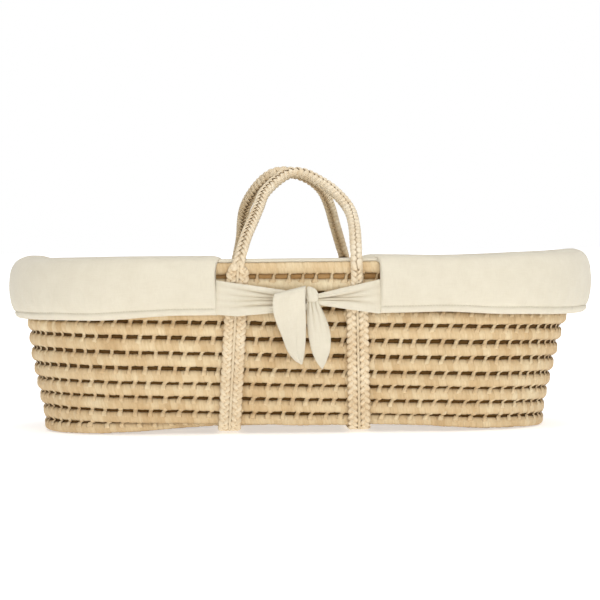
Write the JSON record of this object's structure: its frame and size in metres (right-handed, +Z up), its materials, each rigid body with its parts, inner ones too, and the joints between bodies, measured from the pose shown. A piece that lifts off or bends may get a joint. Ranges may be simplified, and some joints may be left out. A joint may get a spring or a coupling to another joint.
{
  "type": "moses basket",
  "caption": "Oval coiled palm-leaf Moses basket with plaited carrying handles, a padded cotton liner tied over the rim, and a mattress.",
  "frame": {"origin": "on the floor, under the middle of the whole basket", "axes": "+X along the basket's length, -Y towards the front tie, +Z up"},
  "size_m": [0.845, 0.452, 0.3731],
  "materials": {
    "palm_leaf": "dry wrapped palm leaf, satin",
    "leaf_lacing": "split palm leaf, satin",
    "palm_braid": "plaited palm leaf, matt",
    "cotton_cover": "padded cotton, matt",
    "mattress_cotton": "cotton jersey sheet, matt"
  },
  "bodies": {
    "basket": {"wall_row_01": "palm_leaf", "wall_row_02": "palm_leaf", "wall_row_03": "palm_leaf", "wall_row_04": "palm_leaf", "wall_row_05": "palm_leaf", "wall_row_06": "palm_leaf", "wall_row_07": "palm_leaf", "wall_row_08": "palm_leaf", "wall_row_09": "palm_leaf", "wall_row_10": "palm_leaf", "rim_row": "palm_leaf", "base_coil": "palm_leaf", "row_lacing_01": "leaf_lacing", "row_lacing_02": "leaf_lacing", "row_lacing_03": "leaf_lacing", "row_lacing_04": "leaf_lacing", "row_lacing_05": "leaf_lacing", "row_lacing_06": "leaf_lacing", "row_lacing_07": "leaf_lacing", "row_lacing_08": "leaf_lacing", "row_lacing_09": "leaf_lacing", "row_lacing_10": "leaf_lacing", "left_strap_front_outboard_braid": "palm_braid", "left_strap_front_inboard_braid": "palm_braid", "left_strap_front_cord": "palm_braid", "left_strap_base_outboard_braid": "palm_braid", "left_strap_base_inboard_braid": "palm_braid", "left_strap_base_cord": "palm_braid", "left_strap_rear_outboard_braid": "palm_braid", "left_strap_rear_inboard_braid": "palm_braid", "left_strap_rear_cord": "palm_braid", "right_strap_front_outboard_braid": "palm_braid", "right_strap_front_inboard_braid": "palm_braid", "right_strap_front_cord": "palm_braid", "right_strap_base_outboard_braid": "palm_braid", "right_strap_base_inboard_braid": "palm_braid", "right_strap_base_cord": "palm_braid", "right_strap_rear_outboard_braid": "palm_braid", "right_strap_rear_inboard_braid": "palm_braid", "right_strap_rear_cord": "palm_braid", "liner_tub": "cotton_cover", "liner_skirt_left": "cotton_cover", "liner_skirt_right": "cotton_cover", "front_tie_left": "cotton_cover", "front_tie_right": "cotton_cover", "front_knot": "cotton_cover", "front_long_tail": "cotton_cover", "front_short_tail": "cotton_cover", "rear_tie_left": "cotton_cover", "rear_tie_right": "cotton_cover", "rear_knot": "cotton_cover", "rear_long_tail": "cotton_cover", "rear_short_tail": "cotton_cover"},
    "front_handle": {"front_handle_outer_braid": "palm_braid", "front_handle_inner_braid": "palm_braid", "front_handle_core": "palm_braid"},
    "rear_handle": {"rear_handle_outer_braid": "palm_braid", "rear_handle_inner_braid": "palm_braid", "rear_handle_core": "palm_braid"},
    "mattress": {"mattress": "mattress_cotton"}
  },
  "joints": [
    {"name": "front_handle_swing", "type": "hinge", "parent": "basket", "child": "front_handle", "pos_m": [-0.008, -0.218, 0.246], "axis": [1, 0, 0], "range_deg": [0, 180]},
    {"name": "rear_handle_swing", "type": "hinge", "parent": "basket", "child": "rear_handle", "pos_m": [-0.008, 0.218, 0.246], "axis": [-1, 0, 0], "range_deg": [0, 180]},
    {"name": "mattress_lift", "type": "slide", "parent": "basket", "child": "mattress", "axis": [0, 0, 1], "range_m": [0, 0.2]}
  ]
}
